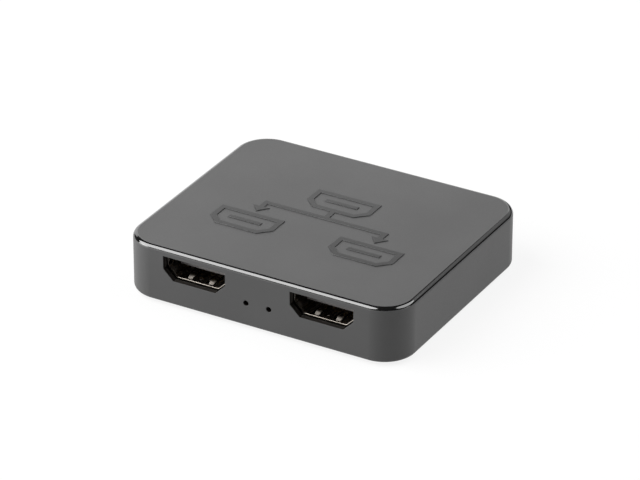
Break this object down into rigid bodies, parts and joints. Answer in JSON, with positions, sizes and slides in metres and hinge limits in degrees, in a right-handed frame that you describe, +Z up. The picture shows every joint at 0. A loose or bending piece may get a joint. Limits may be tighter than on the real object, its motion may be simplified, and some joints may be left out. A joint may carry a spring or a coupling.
{
  "type": "hdmi splitter",
  "caption": "Flat rounded box that copies a video signal from its rear input socket to the output sockets on its front, with status lights and a power inlet.",
  "frame": {"origin": "under the middle of the part, in the plane of the feet's undersides", "axes": "+X to the right seen from the outputs, +Y to the rear with the input and power sockets, +Z up through the lid"},
  "size_m": [0.066, 0.0552, 0.0134],
  "materials": {
    "housing": "fine-textured dark grey plastic, the lid's rounded edge polished",
    "foot_rubber": "matt black rubber",
    "screw_steel": "zinc-plated steel",
    "laminate": "black solder mask",
    "socket_metal": "nickel-plated sheet metal, slightly warm",
    "moulding": "dark grey moulding compound",
    "contact_gold": "gold-plated contacts",
    "chip_package": "matt black package",
    "tinned_lead": "tinned copper",
    "can_metal": "bright can",
    "ceramic": "fired ceramic",
    "led_epoxy": "smoked epoxy"
  },
  "bodies": {
    "splitter": {"top_shell": "housing", "bottom_cover": "housing", "cover_screws": "screw_steel", "feet": "foot_rubber", "circuit_board": "laminate", "output_1_shield": "socket_metal", "output_1_insulator": "moulding", "output_1_contacts": "contact_gold", "output_2_shield": "socket_metal", "output_2_insulator": "moulding", "output_2_contacts": "contact_gold", "input_shield": "socket_metal", "input_insulator": "moulding", "input_contacts": "contact_gold", "power_shield": "socket_metal", "power_insulator": "moulding", "power_contacts": "contact_gold", "power_led": "led_epoxy", "signal_led": "led_epoxy", "splitter_chip": "chip_package", "splitter_chip_leads": "tinned_lead", "memory_chip": "chip_package", "memory_chip_leads": "tinned_lead", "regulators": "chip_package", "regulator_leads": "tinned_lead", "crystal": "can_metal", "crystal_base": "moulding", "bulk_capacitors": "can_metal", "capacitor_bases": "moulding", "input_fuse": "ceramic", "ceramic_capacitors": "ceramic", "chip_resistors": "chip_package", "surge_arrays": "chip_package"},
    "output_1_lower_springs": {"output_1_lower_springs": "socket_metal"},
    "output_1_upper_springs": {"output_1_upper_springs": "socket_metal"},
    "output_2_lower_springs": {"output_2_lower_springs": "socket_metal"},
    "output_2_upper_springs": {"output_2_upper_springs": "socket_metal"},
    "input_lower_springs": {"input_lower_springs": "socket_metal"},
    "input_upper_springs": {"input_upper_springs": "socket_metal"}
  },
  "joints": [
    {"name": "output_1_lower_flex", "type": "hinge", "parent": "splitter", "child": "output_1_lower_springs", "pos_m": [-0.0151, -0.01945, 0.00668], "axis": [1, 0, 0], "range_deg": [0, 3.1], "stiffness_Nm_per_rad": 0.15},
    {"name": "output_1_upper_flex", "type": "hinge", "parent": "splitter", "child": "output_1_upper_springs", "pos_m": [-0.0151, -0.01945, 0.01148], "axis": [-1, 0, 0], "range_deg": [0, 3.1], "stiffness_Nm_per_rad": 0.15},
    {"name": "output_2_lower_flex", "type": "hinge", "parent": "splitter", "child": "output_2_lower_springs", "pos_m": [0.0151, -0.01945, 0.00668], "axis": [1, 0, 0], "range_deg": [0, 3.1], "stiffness_Nm_per_rad": 0.15},
    {"name": "output_2_upper_flex", "type": "hinge", "parent": "splitter", "child": "output_2_upper_springs", "pos_m": [0.0151, -0.01945, 0.01148], "axis": [-1, 0, 0], "range_deg": [0, 3.1], "stiffness_Nm_per_rad": 0.15},
    {"name": "input_lower_flex", "type": "hinge", "parent": "splitter", "child": "input_lower_springs", "pos_m": [0.009, 0.01945, 0.00668], "axis": [-1, 0, 0], "range_deg": [0, 3.1], "stiffness_Nm_per_rad": 0.15},
    {"name": "input_upper_flex", "type": "hinge", "parent": "splitter", "child": "input_upper_springs", "pos_m": [0.009, 0.01945, 0.01148], "axis": [1, 0, 0], "range_deg": [0, 3.1], "stiffness_Nm_per_rad": 0.15}
  ]
}
